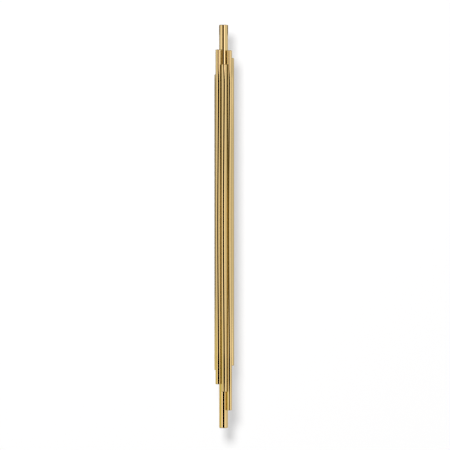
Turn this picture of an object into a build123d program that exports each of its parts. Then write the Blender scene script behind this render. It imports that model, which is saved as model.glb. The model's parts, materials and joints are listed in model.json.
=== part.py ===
from build123d import *
from math import cos, radians, sin, sqrt, tan
import os

# Door pull: a thick brass bar with five thinner rods brazed round it, their ends stepped,
# carried off the door on two turned posts that are screwed to the bar by hidden studs.
# Millimetres. The door's face is the plane y = 0, the rods stand in front of it at negative y,
# z runs up the door, and the origin lies midway between the two fixing holes.

# Thick bar in the middle of the bundle
bar_dia = 12.0
bar_length = 540.0
bar_end_chamfer = 0.6
bar_axis_to_door = 46.0

# Thinner rods brazed round the bar
stout_rod_dia = 8.0
middle_rod_dia = 7.0
slim_rod_dia = 6.5
rod_end_chamfer = 0.4
braze_film = 0.05

# Directions of the rods round the bar's axis in degrees, from the front towards the right
front_angle = 4.0
right_angle = 90.0
front_left_angle = -43.2
rear_left_angle = -104.0

# Steps of each rod's two ends from the two ends of the bar
front_top_step = 53.5
front_bottom_step = 49.0
right_top_step = 44.5
right_bottom_step = 83.5
front_left_top_step = 33.5
front_left_bottom_step = 59.0
rear_left_top_step = 66.5
rear_left_bottom_step = 77.5
front_right_top_step = 34.5
front_right_bottom_step = 24.0

# Turned posts that carry the bar
fixing_centres = 300.0
neck_clear = 0.4
foot_dia = 18.0
foot_thickness = 4.0
foot_chamfer = 0.6
flare_radius = 2.5
seat_film = 0.05

# Tapped holes, bored at their tapping sizes: M6 for the bolts through the door, and M5 for the
# studs that join posts and bar
fixing_bore = 5.0
fixing_hole_depth = 18.0
stud_bore = 4.2
bar_hole_depth = 7.5
post_hole_depth = 12.0
drill_point_angle = 118.0
stud_clear = 0.05
stud_end_clear = 0.5
stud_chamfer = 0.5
key_across_flats = 2.5
key_depth = 3.0

bar_radius = bar_dia / 2
bar_back = bar_radius - bar_axis_to_door
post_seat = bar_back + seat_film


def seat_rod(angle, radius, placed):
    """Centre of a rod slid in towards the bar until it meets the bar or a rod already placed."""
    across = sin(radians(angle))
    forward = -cos(radians(angle))
    reach = bar_radius + braze_film + radius
    for x, y, other_radius in placed:
        along = x * across + (y + bar_axis_to_door) * forward
        aside_squared = x**2 + (y + bar_axis_to_door) ** 2 - along**2
        touch = other_radius + braze_film + radius
        if aside_squared < touch**2:
            reach = max(reach, along + sqrt(touch**2 - aside_squared))
    return reach * across, reach * forward - bar_axis_to_door, radius


def upright_rod(x, y, radius, bottom, top, end_chamfer):
    """Round rod standing on the line x, y with both ends faced flat and chamfered."""
    stick = Pos(x, y, (bottom + top) / 2) * Cylinder(radius, top - bottom)
    return chamfer(stick.edges().filter_by(GeomType.CIRCLE), end_chamfer)


def blind_hole(bore, mouth_y, z, depth, into):
    """Drilled hole along y from its mouth, with a drill point; into is +1 or -1 along y."""
    radius = bore / 2
    point_length = radius / tan(radians(drill_point_angle / 2))
    section = make_face(
        Polyline((0, 0), (radius, 0), (radius, depth), (0, depth + point_length), close=True)
    )
    drill = revolve(Plane.XZ * section, Axis.Z)
    return Pos(0, mouth_y, z) * Rot(X=-90 * into) * drill


def centre_bar():
    """Thick bar with a tapped hole in its back for each stud."""
    bar = upright_rod(
        0, -bar_axis_to_door, bar_radius, -bar_length / 2, bar_length / 2, bar_end_chamfer
    )
    for z in post_heights.values():
        bar -= blind_hole(stud_bore, bar_back, z, bar_hole_depth, -1)
    return bar


def post(z):
    """Turned post: flat foot on the door, flared neck, and a saddle cut to the bar's round back."""
    foot_radius = foot_dia / 2
    flare_end = foot_thickness + flare_radius
    profile = (
        Polyline(
            (0, bar_axis_to_door),
            (0, 0),
            (foot_radius, 0),
            (foot_radius, foot_thickness - foot_chamfer),
            (foot_radius - foot_chamfer, foot_thickness),
            (neck_radius + flare_radius, foot_thickness),
        )
        + RadiusArc(
            (neck_radius + flare_radius, foot_thickness), (neck_radius, flare_end), flare_radius
        )
        + Polyline((neck_radius, flare_end), (neck_radius, bar_axis_to_door), (0, bar_axis_to_door))
    )
    turned = revolve(Plane.XZ * make_face(profile), Axis.Z)
    body = Pos(0, 0, z) * Rot(X=90) * turned
    body -= Pos(0, -bar_axis_to_door, z) * Cylinder(bar_radius + seat_film, foot_dia)
    stud_reach = post_seat + bar_axis_to_door + post_hole_depth
    body -= blind_hole(stud_bore, -bar_axis_to_door, z, stud_reach, 1)
    return body - blind_hole(fixing_bore, 0, z, fixing_hole_depth, -1)


def stud(z):
    """Threaded stud between bar and post, with a hexagon socket in the post end."""
    start = bar_back - bar_hole_depth + stud_end_clear
    end = post_seat + post_hole_depth - stud_end_clear
    pin = Cylinder(stud_bore / 2 - stud_clear, end - start)
    pin = chamfer(pin.edges().filter_by(GeomType.CIRCLE), stud_chamfer)
    socket = extrude(RegularPolygon(key_across_flats / 2, 6, major_radius=False), key_depth)
    pin -= Pos(0, 0, (end - start) / 2 - key_depth) * socket
    return Pos(0, (start + end) / 2, z) * Rot(X=-90) * pin


stout_radius = stout_rod_dia / 2
middle_radius = middle_rod_dia / 2
slim_radius = slim_rod_dia / 2
front_right_angle = (front_angle + right_angle) / 2
post_heights = {"upper": fixing_centres / 2, "lower": -fixing_centres / 2}

# Every rod's direction, radius and end steps, in the order in which they are brazed on
rod_list = {
    "front_rod": (front_angle, stout_radius, front_top_step, front_bottom_step),
    "right_rod": (right_angle, stout_radius, right_top_step, right_bottom_step),
    "front_left_rod": (
        front_left_angle, stout_radius, front_left_top_step, front_left_bottom_step
    ),
    "rear_left_rod": (rear_left_angle, slim_radius, rear_left_top_step, rear_left_bottom_step),
    "front_right_rod": (
        front_right_angle, middle_radius, front_right_top_step, front_right_bottom_step
    ),
}
seats = {}
for name, (angle, radius, top_step, bottom_step) in rod_list.items():
    seats[name] = seat_rod(angle, radius, seats.values())

# The posts' necks pass between the two rods that flank the back of the bar
flanks = [seats["rear_left_rod"], seats["right_rod"]]
neck_radius = min(abs(x) - radius for x, y, radius in flanks) - neck_clear

nodes = {"centre_bar": centre_bar()}
for name, (angle, radius, top_step, bottom_step) in rod_list.items():
    nodes[name] = upright_rod(
        *seats[name], bottom_step - bar_length / 2, bar_length / 2 - top_step, rod_end_chamfer
    )
for level, z in post_heights.items():
    nodes[level + "_post"] = post(z)
    nodes[level + "_stud"] = stud(z)

os.makedirs("parts", exist_ok=True)
for name, shape in nodes.items():
    export_step(shape, f"parts/{name}.step")
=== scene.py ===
import json
from math import e, pi, radians, tan
from typing import NamedTuple

import bpy
import numpy as np
from bpy.props import FloatProperty, FloatVectorProperty, PointerProperty
from bpy.types import Operator, Panel, PropertyGroup
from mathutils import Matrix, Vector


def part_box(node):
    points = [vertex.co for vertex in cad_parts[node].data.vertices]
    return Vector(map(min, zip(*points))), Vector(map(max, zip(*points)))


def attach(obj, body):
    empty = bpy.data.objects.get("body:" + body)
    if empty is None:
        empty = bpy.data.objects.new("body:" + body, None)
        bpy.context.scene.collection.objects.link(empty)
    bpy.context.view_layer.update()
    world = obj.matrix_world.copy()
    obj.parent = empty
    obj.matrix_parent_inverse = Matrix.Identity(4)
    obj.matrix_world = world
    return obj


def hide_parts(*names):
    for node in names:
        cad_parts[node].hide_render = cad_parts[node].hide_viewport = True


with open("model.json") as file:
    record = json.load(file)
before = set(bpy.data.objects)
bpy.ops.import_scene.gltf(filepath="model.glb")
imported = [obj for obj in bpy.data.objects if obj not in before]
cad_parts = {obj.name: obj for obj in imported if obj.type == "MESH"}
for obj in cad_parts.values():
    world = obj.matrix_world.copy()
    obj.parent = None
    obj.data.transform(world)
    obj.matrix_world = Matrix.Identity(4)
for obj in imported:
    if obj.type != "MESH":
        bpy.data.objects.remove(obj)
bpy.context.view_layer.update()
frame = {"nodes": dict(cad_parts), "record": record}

bl_info = {
    "name": "Brass rod door pull",
    "version": (1, 0, 0),
    "blender": (4, 5, 0),
    "location": "3D View > Sidebar > Door pull",
    "description": "Finishes the rods, posts and studs of a brass door pull and sets its studio",
    "category": "Object",
}

MM = 0.001
UPRIGHTS = (
    "centre_bar",
    "front_rod",
    "right_rod",
    "front_left_rod",
    "rear_left_rod",
    "front_right_rod",
)
POSTS = ("upper_post", "lower_post")
STUDS = ("upper_stud", "lower_stud")

# Posts' mesh: points round it, rings to a thread's pitch, points on an arc and across the saddle,
# and the angles in degrees of a sharp edge and of the drill's point
POST_AROUND = 96
RINGS_PER_PITCH = 12
ARC_STEPS = 12
SADDLE_STEPS = 8
SHARP_ANGLE = 40.0
DRILL_POINT = 118.0

# Places of a Mix node's sockets for colours: the share, the two colours, and the result
MIX_SHARE = 0
MIX_FIRST = 6
MIX_SECOND = 7
MIX_RESULT = 2

# Marks of each finish, in grains to the metre along x, y and z or along a profile
POLISH_LINES = (9000, 9000, 30)
POLISH_STREAKS = (1100, 1100, 9)
HANDLING_CLOUDS = (70, 70, 22)
FACING_RINGS = (7000, 0, 0)
TURNING_RINGS = (6000, 0, 0)
TURNING_BANDS = (900, 0, 0)
TURNED_CLOUDS = (120, 120, 120)
ZINC_GRAIN = (5000, 5000, 5000)
ZINC_CLOUDS = (400, 400, 400)

# Detail of the clouds' noise, and the values of it between which a cloud sets in
CLOUD_DETAIL = 3.0
CLOUD_EDGE = (0.4, 0.7)
ZINC_CLOUD_EDGE = (0.35, 0.65)

# Depths of the relief that the marks leave, and the turning bands' share of it
POLISH_RELIEF = 0.0006 * MM
TURNING_RELIEF = 0.004 * MM
ZINC_RELIEF = 0.003 * MM
BAND_RELIEF = 0.5

# Roughness of posts and studs, and what each kind of mark adds to it
TURNED_ROUGHNESS = 0.14
RING_ROUGHNESS = 0.1
BAND_ROUGHNESS = 0.06
CLOUD_ROUGHNESS = 0.04
ZINC_ROUGHNESS = 0.25
GRAIN_ROUGHNESS = 0.15

# Faced ends of the rods: how far inside the rod's side they begin, and the roughness they add
FACED_EDGE = (0.05 * MM, 0.15 * MM)
FACED_ROUGHNESS = 0.1

# Painted shade in the valleys between the rods: its share at mid-height, what the upper part adds
# and the lower part takes off, the heights over which that changes, its fade past a rod's end, the
# roughness it adds, and the power that keeps that roughness to the bottom of the valley
VALLEY_SHADE_SHARE = 0.25
VALLEY_SHADE_MORE_ABOVE = 0.75
VALLEY_SHADE_LESS_BELOW = 0.1
VALLEY_SHADE_HEIGHTS = (0.02, 0.14)
VALLEY_SHADE_FADE = 1.0 * MM
VALLEY_ROUGHNESS = 0.15
VALLEY_ROUGHNESS_POWER = 4


def colour_property(name, description, colour):
    """A colour that a user may change."""
    return FloatVectorProperty(
        name=name,
        description=description,
        subtype="COLOR",
        size=4,
        min=0.0,
        max=1.0,
        default=(*colour, 1.0),
    )


def length_property(name, description, length):
    """A length that a user may change."""
    return FloatProperty(name=name, description=description, unit="LENGTH", default=length)


class PullFinish(PropertyGroup):
    """Colours and finish of the brass and the steel."""

    brass: colour_property("Brass", "Colour of freshly polished brass", (0.85, 0.685, 0.305))
    handled_brass: colour_property(
        "Handled brass", "Warmer colour of the clouds that handling leaves", (0.83, 0.66, 0.28)
    )
    # Painted shade: the near-black colour mixed into the brass in the valleys between the rods
    painted_shade: colour_property(
        "Tarnish", "Dark film in the valleys that polishing misses", (0.02, 0.04, 0.002)
    )
    zinc: colour_property("Zinc plate", "Colour of the plated studs", (0.62, 0.63, 0.64))
    clouded_zinc: colour_property(
        "Clouded zinc", "Yellowish colour of the clouds in the plate", (0.66, 0.64, 0.55)
    )
    polish: FloatProperty(
        name="Polish",
        description="Roughness of the polished rods",
        subtype="FACTOR",
        min=0.0,
        max=1.0,
        default=0.002,
    )
    # Painted shade: how far it spreads out of a valley between two rods
    valley_reach: length_property(
        "Valley reach", "How far the tarnish spreads out of a valley between two rods", 1.0 * MM
    )


class PullPosts(PropertyGroup):
    """Sizes of the turned posts."""

    neck_clear: length_property(
        "Neck clearance", "Room between the posts' necks and the rods beside them", 0.4 * MM
    )
    foot_thickness: length_property(
        "Foot thickness", "Thickness of the flat foot on the door", 4.0 * MM
    )
    foot_chamfer: length_property("Foot chamfer", "Chamfer round the front of the foot", 0.6 * MM)
    flare_radius: length_property("Flare radius", "Radius of the flare from foot to neck", 2.5 * MM)
    edge_round: length_property(
        "Edge round", "Radius that polishing leaves on the foot's edges", 0.15 * MM
    )
    hole_depth: length_property(
        "Hole depth", "Depth of the tapped hole for the bolt through the door", 18.0 * MM
    )
    thread_pitch: length_property("Thread pitch", "Pitch of the M6 thread in that hole", 1.0 * MM)
    thread_depth: length_property(
        "Thread depth", "Depth of the thread from its crest to its root", 0.5 * MM
    )
    seat_film: length_property(
        "Seat film", "Gap between the post's saddle and the bar's back", 0.05 * MM
    )
    stud_clear: length_property(
        "Stud clearance", "Gap between the stud and the side of its hole", 0.05 * MM
    )
    stud_end_clear: length_property(
        "Stud end clearance", "Gap between the stud's end and the bottom of its hole", 0.5 * MM
    )


class PullStage(PropertyGroup):
    """Camera, light and the room that the brass shows."""

    camera_distance: length_property(
        "Camera distance", "Distance from the camera to the bar's axis", 4.5
    )
    key_size: length_property("Key lamp size", "Radius of the lamp that throws the shadow", 0.5)
    key_level: FloatProperty(
        name="Key lamp level",
        description="Strength of that lamp, the same at any distance",
        min=0.0,
        default=70.0,
    )
    room: colour_property("Room", "Colour of the pale room round the pull", (0.755, 0.7, 0.73))


class Upright:
    """Axis, radius and ends of one upright rod or bar, read from its box in the frame."""

    def __init__(self, node):
        low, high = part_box(node)
        self.x = (low.x + high.x) / 2
        self.y = (low.y + high.y) / 2
        self.radius = (high.x - low.x) / 2
        self.bottom = low.z
        self.top = high.z


class Wire:
    """A shader socket used in Python expressions: each operator adds one Math node to its tree."""

    def __init__(self, tree, socket):
        self.tree = tree
        self.socket = socket

    @classmethod
    def node(cls, tree, kind, settings=None, inputs=None, output=0):
        """Adds a node of any type: sets its settings, then the values or links of its sockets."""
        made = tree.nodes.new(kind)
        for name, value in (settings or {}).items():
            setattr(made, name, value)
        for name, value in (inputs or {}).items():
            if isinstance(value, Wire):
                tree.links.new(value.socket, made.inputs[name])
            else:
                made.inputs[name].default_value = value
        return cls(tree, made.outputs[output]) if made.outputs else made

    def math(self, operation, *values):
        """Adds a Math node that works on the given values or wires."""
        return Wire.node(
            self.tree, "ShaderNodeMath", {"operation": operation}, dict(enumerate(values))
        )

    def __add__(self, other):
        return self.math("ADD", self, other)

    __radd__ = __add__

    def __sub__(self, other):
        return self.math("SUBTRACT", self, other)

    def __rsub__(self, other):
        return self.math("SUBTRACT", other, self)

    def __mul__(self, other):
        return self.math("MULTIPLY", self, other)

    __rmul__ = __mul__

    def __truediv__(self, other):
        return self.math("DIVIDE", self, other)

    def __rtruediv__(self, other):
        return self.math("DIVIDE", other, self)

    def __pow__(self, other):
        return self.math("POWER", self, other)

    def __rpow__(self, other):
        return self.math("POWER", other, self)

    def __neg__(self):
        return self.math("MULTIPLY", self, -1.0)

    def __abs__(self):
        return self.math("ABSOLUTE", self)

    def most(self, other):
        """The larger of two values."""
        return self.math("MAXIMUM", self, other)

    def least(self, other):
        """The smaller of two values."""
        return self.math("MINIMUM", self, other)

    def smooth(self, start, end):
        """Rises smoothly from 0 at start to 1 at end."""
        return Wire.node(
            self.tree,
            "ShaderNodeMapRange",
            {"interpolation_type": "SMOOTHSTEP"},
            {"Value": self, "From Min": start, "From Max": end, "To Min": 0.0, "To Max": 1.0},
        )

    def split(self):
        """The three components of a vector."""
        parts = Wire.node(self.tree, "ShaderNodeSeparateXYZ", None, {0: self})
        outputs = parts.socket.node.outputs
        return tuple(Wire(self.tree, outputs[axis]) for axis in "XYZ")

    def blend(self, first, second):
        """Mixes two colours, with this value as the share of the second."""
        return Wire.node(
            self.tree,
            "ShaderNodeMix",
            {"data_type": "RGBA"},
            {MIX_SHARE: self, MIX_FIRST: first, MIX_SECOND: second},
            MIX_RESULT,
        )


def new_material(name):
    """An empty node material."""
    material = bpy.data.materials.new(name)
    material.use_nodes = True
    material.node_tree.nodes.clear()
    return material


def noise(place, stretch, detail=2.0):
    """Noise on a vector that is first multiplied by stretch, so 1 / stretch is the grain's size."""
    scaled = Wire.node(
        place.tree, "ShaderNodeVectorMath", {"operation": "MULTIPLY"}, {0: place, 1: stretch}
    )
    return Wire.node(
        place.tree, "ShaderNodeTexNoise", None, {"Vector": scaled, "Scale": 1.0, "Detail": detail}
    )


def metal_surface(tree, colour, roughness, height, depth):
    """Ends a material: a metal with the given colour, roughness and relief of the given depth."""
    relief = Wire.node(
        tree, "ShaderNodeBump", None, {"Strength": 1.0, "Distance": depth, "Height": height}
    )
    shader = Wire.node(
        tree,
        "ShaderNodeBsdfPrincipled",
        None,
        {"Base Color": colour, "Metallic": 1.0, "Roughness": roughness, "Normal": relief},
    )
    Wire.node(tree, "ShaderNodeOutputMaterial", None, {"Surface": shader})


def rod_gap(x, y, rod):
    """Distance from a point to the side of an upright rod, negative inside it."""
    return ((x - rod.x) ** 2 + (y - rod.y) ** 2) ** 0.5 - rod.radius


def polished_brass(node, finish):
    """Brass polished along the rod: fine lengthwise lines, handling clouds, painted shade in the
    valleys beside the neighbouring rods, and ring marks where the ends were faced. The painted shade
    falls off as e to the power of minus the distance to the nearest neighbour over its reach."""
    material = new_material("polished_brass_" + node)
    tree = material.node_tree
    place = Wire.node(tree, "ShaderNodeTexCoord", output="Object")
    x, y, z = place.split()

    lines = noise(place, POLISH_LINES)
    streaks = noise(place, POLISH_STREAKS)
    clouds = noise(place, HANDLING_CLOUDS, CLOUD_DETAIL).smooth(*CLOUD_EDGE)

    # Painted shade between the rods: each neighbour's share of the dark colour, largest where it is
    # nearest
    valley = None
    for other in UPRIGHTS:
        if other == node:
            continue
        rod = Upright(other)
        above_bottom = z.smooth(rod.bottom - VALLEY_SHADE_FADE, rod.bottom)
        below_top = 1 - z.smooth(rod.top, rod.top + VALLEY_SHADE_FADE)
        film = e ** (rod_gap(x, y, rod) / -finish.valley_reach) * (above_bottom * below_top)
        valley = film if valley is None else valley.most(film)
    valley = valley.least(1.0)

    reach = rod_gap(x, y, Upright(node))
    faced = (-reach).smooth(*FACED_EDGE)
    rings = noise(Wire.node(tree, "ShaderNodeCombineXYZ", None, {0: reach}), FACING_RINGS)

    # Painted shade mixed into the colour at the valleys, darker in the upper part and lighter in the
    # lower part
    above = z.smooth(*VALLEY_SHADE_HEIGHTS) * VALLEY_SHADE_MORE_ABOVE
    below = (-z).smooth(*VALLEY_SHADE_HEIGHTS) * VALLEY_SHADE_LESS_BELOW
    colour = clouds.blend(tuple(finish.brass), tuple(finish.handled_brass))
    colour = (valley * (VALLEY_SHADE_SHARE + above - below)).blend(colour, tuple(finish.painted_shade))
    dull = valley**VALLEY_ROUGHNESS_POWER * VALLEY_ROUGHNESS + faced * FACED_ROUGHNESS
    roughness = finish.polish * (lines + streaks + clouds) + dull
    height = lines * (1 - faced) + rings * faced
    metal_surface(tree, colour, roughness, height, POLISH_RELIEF)
    return material


def turned_brass(finish):
    """Brass as it leaves the lathe: fine rings across the profile, a bit duller than the rods."""
    material = new_material("turned_brass")
    tree = material.node_tree
    run = Wire.node(tree, "ShaderNodeAttribute", {"attribute_name": "profile_run"}, output="Fac")
    place = Wire.node(tree, "ShaderNodeTexCoord", output="Object")
    along = Wire.node(tree, "ShaderNodeCombineXYZ", None, {0: run})
    rings = noise(along, TURNING_RINGS)
    bands = noise(along, TURNING_BANDS)
    clouds = noise(place, TURNED_CLOUDS, CLOUD_DETAIL).smooth(*CLOUD_EDGE)
    colour = clouds.blend(tuple(finish.brass), tuple(finish.handled_brass))
    marks = rings * RING_ROUGHNESS + bands * BAND_ROUGHNESS + clouds * CLOUD_ROUGHNESS
    height = rings + bands * BAND_RELIEF
    metal_surface(tree, colour, TURNED_ROUGHNESS + marks, height, TURNING_RELIEF)
    return material


def zinc_plated_steel(finish):
    """Bright zinc plate: a fine crystal grain with faint bluish and yellowish clouds."""
    material = new_material("zinc_plated_steel")
    tree = material.node_tree
    place = Wire.node(tree, "ShaderNodeTexCoord", output="Object")
    grain = noise(place, ZINC_GRAIN)
    clouds = noise(place, ZINC_CLOUDS, CLOUD_DETAIL).smooth(*ZINC_CLOUD_EDGE)
    colour = clouds.blend(tuple(finish.zinc), tuple(finish.clouded_zinc))
    roughness = ZINC_ROUGHNESS + grain * GRAIN_ROUGHNESS
    metal_surface(tree, colour, roughness, grain, ZINC_RELIEF)
    return material


def set_finish(piece, material):
    """Puts one material in every slot of a piece."""
    if not piece.material_slots:
        piece.data.materials.append(material)
    for slot in piece.material_slots:
        slot.material = material


def corner_arc(before, corner, after, radius):
    """Points of the arc that rounds a corner: it starts and ends where the two straight runs touch
    a circle of the given radius, and its points are even steps of the angle turned."""
    into = (corner - before) / np.linalg.norm(corner - before)
    out = (after - corner) / np.linalg.norm(after - corner)
    turn = np.arctan2(into[0] * out[1] - into[1] * out[0], into @ out)
    inward = np.sign(turn) * np.array([-into[1], into[0]])
    centre = corner - into * radius * tan(abs(turn) / 2) + inward * radius
    angle = np.linspace(0.0, abs(turn), ARC_STEPS)[:, None]
    return centre + radius * (np.sin(angle) * into - np.cos(angle) * inward)


def rise_of(value, start, end):
    """Rises smoothly from 0 at start to 1 at end, for whole arrays: three times the square of the
    share passed less twice its cube."""
    share = np.clip((value - start) / (end - start), 0.0, 1.0)
    return share * share * (3.0 - 2.0 * share)


def thread_form(turns):
    """Metric thread over one turn: 0 on a crest a quarter of the pitch wide, 1 on a root an eighth
    of it wide, and straight flanks between them."""
    ramp = 1 - np.abs(2 * (turns % 1.0) - 1)
    return np.clip((ramp - 1 / 4) / (5 / 8), 0.0, 1.0)


def closed_of_rings(name, rings, start, end, run):
    """Closed mesh of a grid of rings (rings x points round x 3) with a pole at each end: quads join
    neighbouring rings, and fans of triangles close the poles. Each point keeps its run along the
    profile in the attribute profile_run."""
    count, around = rings.shape[:2]
    points = np.vstack([rings.reshape(-1, 3), start, end])
    index = np.arange(count * around).reshape(count, around)
    beside = np.roll(index, -1, axis=1)
    quads = np.stack([index[:-1], beside[:-1], beside[1:], index[1:]], axis=-1).reshape(-1, 4)
    first = np.stack([np.full(around, count * around), beside[0], index[0]], axis=-1)
    last = np.stack([np.full(around, count * around + 1), index[-1], beside[-1]], axis=-1)
    corners = np.vstack([quads[:, [0, 1, 2]], quads[:, [0, 2, 3]], first, last])
    a, b, c = (points[corners[:, k]] for k in range(3))
    if np.einsum("ij,ij->", a, np.cross(b, c)) < 0:
        quads, first, last = quads[:, ::-1], first[:, ::-1], last[:, ::-1]
    mesh = bpy.data.meshes.new(name)
    mesh.from_pydata(points.tolist(), [], quads.tolist() + first.tolist() + last.tolist())
    mesh.shade_smooth()
    mesh.set_sharp_from_angle(angle=radians(SHARP_ANGLE))
    runs = mesh.attributes.new("profile_run", "FLOAT", "POINT")
    runs.data.foreach_set("value", np.concatenate([run.ravel(), [0.0, run.max()]]))
    piece = bpy.data.objects.new(name, mesh)
    bpy.context.collection.objects.link(piece)
    return piece


def turned_post(name, node, stud, sizes):
    """Post as one closed surface round its axis. Its profile, a radius against a depth from the
    door, comes up out of the tapped hole, crosses the foot, follows the flare and the neck, goes in
    over the saddle and down the stud's hole. Round the axis by an angle, x is the radius times its
    cosine, y is minus the depth, and z is the radius times its sine. In the tapped hole the radius
    grows by the thread's form at depth over pitch less the angle in turns. On the saddle the depth
    is that of the bar's round back: the bar's axis less the root of its radius squared less x
    squared."""
    low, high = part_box(node)
    pin_low, pin_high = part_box(stud)
    bar = Upright("centre_bar")
    hole = frame["record"]["mounts"][0]["dims"]["hole_r_mm"] * MM
    foot = (high.x - low.x) / 2
    neck = min(-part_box("rear_left_rod")[1].x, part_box("right_rod")[0].x) - sizes.neck_clear
    socket = (pin_high.x - pin_low.x) / 2 + sizes.stud_clear
    socket_end = -pin_high.y - sizes.stud_end_clear
    angle = np.linspace(0.0, 2 * pi, POST_AROUND, endpoint=False)

    pitch = sizes.thread_pitch
    hole_rings = round(sizes.hole_depth / pitch * RINGS_PER_PITCH) + 1
    depths = np.linspace(sizes.hole_depth, 0.0, hole_rings)
    front = sizes.foot_thickness
    corners = np.array(
        [
            (hole, 0.0),
            (foot, 0.0),
            (foot, front - sizes.foot_chamfer),
            (foot - sizes.foot_chamfer, front),
            (neck, front),
            (neck, -bar.y),
        ]
    )
    rounds = (sizes.edge_round, sizes.edge_round, sizes.edge_round, sizes.flare_radius)
    turned = np.vstack(
        [corner_arc(*corners[k : k + 3], radius) for k, radius in enumerate(rounds)]
    )
    saddle = np.linspace(neck, socket, SADDLE_STEPS)

    plain = np.concatenate([np.full(hole_rings, hole), turned[:, 0], saddle, [socket]])
    radius = np.repeat(plain[:, None], POST_AROUND, axis=1)
    seat = bar.radius + sizes.seat_film
    depth = np.vstack(
        [
            np.repeat(np.concatenate([depths, turned[:, 1]])[:, None], POST_AROUND, axis=1),
            -bar.y - np.sqrt(seat**2 - (saddle[:, None] * np.cos(angle)) ** 2),
            np.full((1, POST_AROUND), socket_end),
        ]
    )
    run = np.hypot(np.diff(radius, axis=0), np.diff(depth, axis=0)).cumsum(axis=0)
    run = np.vstack([np.zeros((1, POST_AROUND)), run])

    cut = rise_of(depths, 0.0, pitch) * rise_of(sizes.hole_depth - depths, pitch, 2 * pitch)
    turns = depths[:, None] / pitch - angle / (2 * pi)
    radius[:hole_rings] += sizes.thread_depth * cut[:, None] * thread_form(turns)

    middle = (low.z + high.z) / 2
    rings = np.stack([radius * np.cos(angle), -depth, middle + radius * np.sin(angle)], axis=-1)
    point = tan(pi / 2 - radians(DRILL_POINT / 2))
    start = (0.0, -(sizes.hole_depth + hole * point), middle)
    end = (0.0, -(socket_end - socket * point), middle)
    return closed_of_rings(name, rings, start, end, run)


class DOORPULL_OT_uprights(Operator):
    """Finish the bar and the five rods round it"""

    bl_idname = "door_pull.finish_uprights"
    bl_label = "Bar and rods"

    def execute(self, context):
        finish = context.scene.door_pull_finish
        for node in UPRIGHTS:
            set_finish(frame["nodes"][node], polished_brass(node, finish))
        return {"FINISHED"}


class DOORPULL_OT_posts(Operator):
    """Make the two turned posts, with the thread in their feet"""

    bl_idname = "door_pull.make_posts"
    bl_label = "Posts"

    def execute(self, context):
        material = turned_brass(context.scene.door_pull_finish)
        for node, stud in zip(POSTS, STUDS):
            piece = turned_post("turned_" + node, node, stud, context.scene.door_pull_posts)
            set_finish(piece, material)
            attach(piece, "root")
            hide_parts(node)
        return {"FINISHED"}


class DOORPULL_OT_studs(Operator):
    """Finish the studs that join posts and bar"""

    bl_idname = "door_pull.finish_studs"
    bl_label = "Studs"

    def execute(self, context):
        material = zinc_plated_steel(context.scene.door_pull_finish)
        for node in STUDS:
            set_finish(frame["nodes"][node], material)
        return {"FINISHED"}


# Photograph's frame in pixels: its width, the bar's length in it, and the bar's middle
PHOTO_WIDTH = 450.0
BAR_PIXELS = 403.0
BAR_MIDDLE_ACROSS = 223.6
BAR_MIDDLE_DOWN = 226.4

# Nearest and farthest distance that the camera sees
CLIP_START = 0.05
CLIP_END = 100.0

# White door: half its width, its distance behind the feet, its own light, and its grey for the lamp
DOOR_HALF = 4.0
DOOR_GAP = 0.5 * MM
DOOR_GLOW = 0.58
DOOR_PAINT = (0.25, 0.25, 0.25, 1.0)

# Place of the key lamp from the bar's middle
KEY_PLACE = (-0.53, -3.05, 1.06)

WHITE = (1.0, 1.0, 1.0, 1.0)


def add_camera(stage):
    """Long lens straight in front of the door, with the bar where the photograph has it."""
    bar = Upright("centre_bar")
    pixel = (bar.top - bar.bottom) / BAR_PIXELS
    data = bpy.data.cameras.new("camera")
    data.lens = data.sensor_width * stage.camera_distance / (PHOTO_WIDTH * pixel)
    data.clip_start = CLIP_START
    data.clip_end = CLIP_END
    camera = bpy.data.objects.new("camera", data)
    camera.location = (
        bar.x + (PHOTO_WIDTH / 2 - BAR_MIDDLE_ACROSS) * pixel,
        bar.y - stage.camera_distance,
        (bar.bottom + bar.top) / 2 - (PHOTO_WIDTH / 2 - BAR_MIDDLE_DOWN) * pixel,
    )
    camera.rotation_euler = (pi / 2, 0.0, 0.0)
    bpy.context.collection.objects.link(camera)
    bpy.context.scene.camera = camera


def add_wall():
    """White door face behind the feet. It shows only from the front and only to the camera, so the
    other views and the reflections look past it."""
    low, high = -DOOR_HALF, DOOR_HALF
    corners = ((low, low), (high, low), (high, high), (low, high))
    mesh = bpy.data.meshes.new("door_face")
    mesh.from_pydata([(x, DOOR_GAP, z) for x, z in corners], [], [(0, 1, 2, 3)])
    wall = bpy.data.objects.new("door_face", mesh)
    bpy.context.collection.objects.link(wall)

    material = new_material("white_door")
    tree = material.node_tree
    glow = Wire.node(tree, "ShaderNodeEmission", None, {"Color": WHITE, "Strength": DOOR_GLOW})
    paint = Wire.node(tree, "ShaderNodeBsdfDiffuse", None, {"Color": DOOR_PAINT})
    lit = Wire.node(tree, "ShaderNodeAddShader", None, {0: glow, 1: paint})
    clear = Wire.node(tree, "ShaderNodeBsdfTransparent")
    seen = Wire.node(tree, "ShaderNodeLightPath", output="Is Camera Ray")
    behind = Wire.node(tree, "ShaderNodeNewGeometry", output="Backfacing")
    shown = Wire.node(tree, "ShaderNodeMixShader", None, {0: seen * (1 - behind), 1: clear, 2: lit})
    Wire.node(tree, "ShaderNodeOutputMaterial", None, {"Surface": shown})
    set_finish(wall, material)


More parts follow.
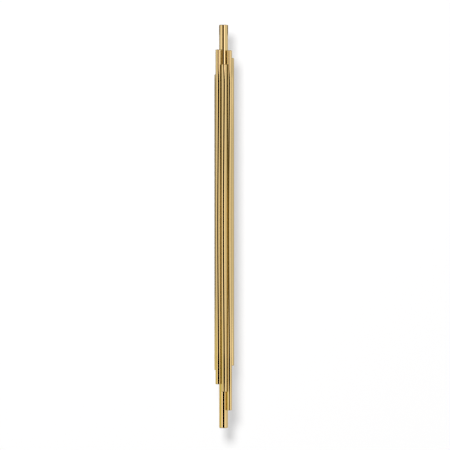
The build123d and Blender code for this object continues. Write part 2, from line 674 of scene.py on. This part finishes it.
def add_key_lamp(stage):
    """Round soft lamp at the upper left that throws the bundle's shadow down to the right. Its
    light does not fall off with distance, so the door stays evenly white."""
    bar = Upright("centre_bar")
    data = bpy.data.lights.new("key_lamp", "POINT")
    data.shadow_soft_size = stage.key_size
    data.energy = 1.0
    data.use_nodes = True
    tree = data.node_tree
    tree.nodes.clear()
    level = Wire.node(
        tree, "ShaderNodeLightFalloff", None, {"Strength": stage.key_level}, "Constant"
    )
    glow = Wire.node(tree, "ShaderNodeEmission", None, {"Strength": level})
    Wire.node(tree, "ShaderNodeOutputLight", None, {"Surface": glow})
    lamp = bpy.data.objects.new("key_lamp", data)
    middle = (bar.x, bar.y, (bar.bottom + bar.top) / 2)
    lamp.location = [place + off for place, off in zip(middle, KEY_PLACE)]
    lamp.visible_glossy = False
    bpy.context.collection.objects.link(lamp)


def band(value, middle, half, soft):
    """1 within half of a middle, falling smoothly to 0 over the soft edge."""
    return 1 - abs(value - middle).smooth(half - soft / 2, half + soft / 2)


class Screen(NamedTuple):
    """Screen of the studio: the direction of its middle, its half width and its soft edge in
    degrees, and its light."""

    middle: float
    half: float
    soft: float
    light: tuple

    def over(self, tone, turn, share):
        """A tone with a share of this screen set before it."""
        return (band(turn, self.middle, self.half, self.soft) * share).blend(tone, self.light)


# Screens, by degrees from the front towards the right. The screen behind is the same at both sides,
# and the soft boxes stand at both edges of the dark gap and are measured from them
DARK_LEFT = Screen(-136.0, 30.0, 8.0, (0.01, 0.005, 0.0, 1.0))
GILT_LEFT = Screen(-94.0, 20.0, 14.0, (0.6, 0.54, 0.12, 1.0))
DARK_RIGHT = Screen(132.0, 12.0, 8.0, (0.01, 0.01, 0.005, 1.0))
BROWN_BEHIND = Screen(180.0, 72.0, 16.0, (0.17, 0.12, 0.01, 1.0))
SOFT_BOXES = Screen(5.4, 6.4, 10.0, (2.06, 1.79, 1.74, 1.0))
BRIGHT_PANEL = Screen(15.5, 11.5, 14.0, (2.5, 2.0, 2.25, 1.0))

# Heights over which the studio changes: above its middle, below it, and away from it both ways
TOP_ABOVE = (0.19, 0.211)
CROWN_ABOVE = (0.232, 0.24)
CAP_ABOVE = (0.2525, 0.2575)
CAP_END_ABOVE = (0.29, 0.3)
GILT_BELOW = (0.07, 0.19)
LOW_BELOW = (0.165, 0.185)
FOOT_BELOW = (0.205, 0.23)
SWING_AWAY = (0.0, 0.215)
ENDS_AWAY = (0.205, 0.235)
FAR_AWAY = (0.3, 0.45)

# What the screens lose at the ends of the pull
DARK_LEFT_LOSS = 0.6
DARK_RIGHT_LOSS = 0.7
SOFT_BOXES_LOSS = 0.2
BRIGHT_PANEL_LOSS = 0.3

# Dark gap that the camera looks through, in degrees: its middle at mid-height, how far that swings
# to the right by the ends, and how far it turns back to the left at the top and at the foot
GAP_MIDDLE = -27.0
GAP_SWING = 30.5
GAP_TOP_TURN = 16.0
GAP_FOOT_TURN = 3.5

# Its half width at mid-height, what is added by the ends and low down, what is taken off at the top
# and at the foot, its soft edge, and its tone, which is browner in the crown
GAP_HALF = 31.5
GAP_WIDER_ENDS = 2.0
GAP_WIDER_LOW = 4.0
GAP_NARROWER_TOP = 8.5
GAP_NARROWER_FOOT = 10.0
GAP_SOFT = 3.0
GAP_TONE = (0.0, 0.0, 0.0, 1.0)
GAP_CROWN_TONE = (0.04, 0.025, 0.002, 1.0)

# Dark strips that stand far above and below: how many, their turn in radians, edge and tone
STRIP_COUNT = 3
STRIP_TURN = 0.6
STRIP_EDGE = (0.5, 0.75)
STRIP_TONE = (0.06, 0.045, 0.03, 1.0)

# Least level part of a direction, squared, so that the slope straight up or down has a value
LEAST_SQUARE = 0.0001


def add_studio(stage):
    """White to the camera. To the brass it is a pale room with dark screens at the left and the
    right, a gilt one at the lower left, a brown one behind the top end, a bright panel before the
    top ends, and soft boxes beside the dark gap that the camera looks through. Far above and below
    stand dark strips. The screens are fitted to the photograph: they stand where the brass, seen
    from the camera's place, shows its light and dark lines, and other views show them elsewhere.
    Turn is the direction in degrees from the front towards the right, and rise is how far a
    direction climbs over the camera's distance."""
    world = bpy.data.worlds.new("studio")
    bpy.context.scene.world = world
    world.use_nodes = True
    tree = world.node_tree
    tree.nodes.clear()
    x, y, z = Wire.node(tree, "ShaderNodeTexCoord", output="Generated").split()
    around = x.math("ARCTAN2", x, -y)
    turn = around * (180 / pi)
    rise = z / (x * x + y * y).most(LEAST_SQUARE) ** 0.5 * stage.camera_distance
    fall = -rise
    away = abs(rise)
    top = rise.smooth(*TOP_ABOVE)
    crown = rise.smooth(*CROWN_ABOVE)
    cap = rise.smooth(*CAP_ABOVE) * (1 - rise.smooth(*CAP_END_ABOVE))
    gilded = fall.smooth(*GILT_BELOW)
    low = fall.smooth(*LOW_BELOW)
    foot = fall.smooth(*FOOT_BELOW)
    swing = away.smooth(*SWING_AWAY)
    ends = away.smooth(*ENDS_AWAY)
    far = away.smooth(*FAR_AWAY)

    middle = swing * GAP_SWING + GAP_MIDDLE - top * GAP_TOP_TURN - foot * GAP_FOOT_TURN
    wider = swing * GAP_WIDER_ENDS + low * GAP_WIDER_LOW
    narrower = top * GAP_NARROWER_TOP + foot * GAP_NARROWER_FOOT
    edge = abs(turn - middle) - (wider - narrower + GAP_HALF)

    tone = DARK_LEFT.over(tuple(stage.room), turn, (1 - gilded) * (1 - top * DARK_LEFT_LOSS))
    tone = GILT_LEFT.over(tone, turn, gilded * (1 - far))
    tone = DARK_RIGHT.over(tone, turn, 1 - ends * DARK_RIGHT_LOSS)
    tone = BROWN_BEHIND.over(tone, abs(turn), cap)
    tone = SOFT_BOXES.over(tone, edge, 1 - top * SOFT_BOXES_LOSS)
    tone = BRIGHT_PANEL.over(tone, turn, top - crown * BRIGHT_PANEL_LOSS)
    tone = edge.smooth(-GAP_SOFT, GAP_SOFT).blend(crown.blend(GAP_TONE, GAP_CROWN_TONE), tone)
    strips = x.math("COSINE", around * STRIP_COUNT + STRIP_TURN).smooth(*STRIP_EDGE)
    tone = (strips * far).blend(tone, STRIP_TONE)

    paths = Wire.node(tree, "ShaderNodeLightPath").socket.node.outputs
    camera_ray = Wire(tree, paths["Is Camera Ray"])
    diffuse_ray = Wire(tree, paths["Is Diffuse Ray"])
    tone = camera_ray.blend(tone, WHITE)
    back = Wire.node(
        tree, "ShaderNodeBackground", None, {"Color": tone, "Strength": 1 - diffuse_ray}
    )
    Wire.node(tree, "ShaderNodeOutputWorld", None, {"Surface": back})


class DOORPULL_OT_stage(Operator):
    """Set the camera, the white door and the light"""

    bl_idname = "door_pull.set_stage"
    bl_label = "Stage"

    def execute(self, context):
        stage = context.scene.door_pull_stage
        add_camera(stage)
        add_wall()
        add_key_lamp(stage)
        add_studio(stage)
        context.scene.view_settings.view_transform = "Standard"
        return {"FINISHED"}


class DOORPULL_PT_panel(Panel):
    """Sidebar panel with the steps in order"""

    bl_label = "Door pull"
    bl_space_type = "VIEW_3D"
    bl_region_type = "UI"
    bl_category = "Door pull"

    def draw(self, context):
        for group in ("door_pull_finish", "door_pull_posts", "door_pull_stage"):
            settings = getattr(context.scene, group)
            for name in settings.bl_rna.properties.keys():
                if name not in ("rna_type", "name"):
                    self.layout.prop(settings, name)
        for operator in STEPS:
            self.layout.operator(operator.bl_idname)


STEPS = (DOORPULL_OT_uprights, DOORPULL_OT_posts, DOORPULL_OT_studs, DOORPULL_OT_stage)
CLASSES = (PullFinish, PullPosts, PullStage, *STEPS, DOORPULL_PT_panel)


def register():
    for each in CLASSES:
        bpy.utils.register_class(each)
    bpy.types.Scene.door_pull_finish = PointerProperty(type=PullFinish)
    bpy.types.Scene.door_pull_posts = PointerProperty(type=PullPosts)
    bpy.types.Scene.door_pull_stage = PointerProperty(type=PullStage)


def unregister():
    del bpy.types.Scene.door_pull_stage
    del bpy.types.Scene.door_pull_posts
    del bpy.types.Scene.door_pull_finish
    for each in reversed(CLASSES):
        bpy.utils.unregister_class(each)


def main():
    register()
    bpy.ops.door_pull.finish_uprights()
    bpy.ops.door_pull.make_posts()
    bpy.ops.door_pull.finish_studs()
    bpy.ops.door_pull.set_stage()


if __name__ == "__main__":
    main()
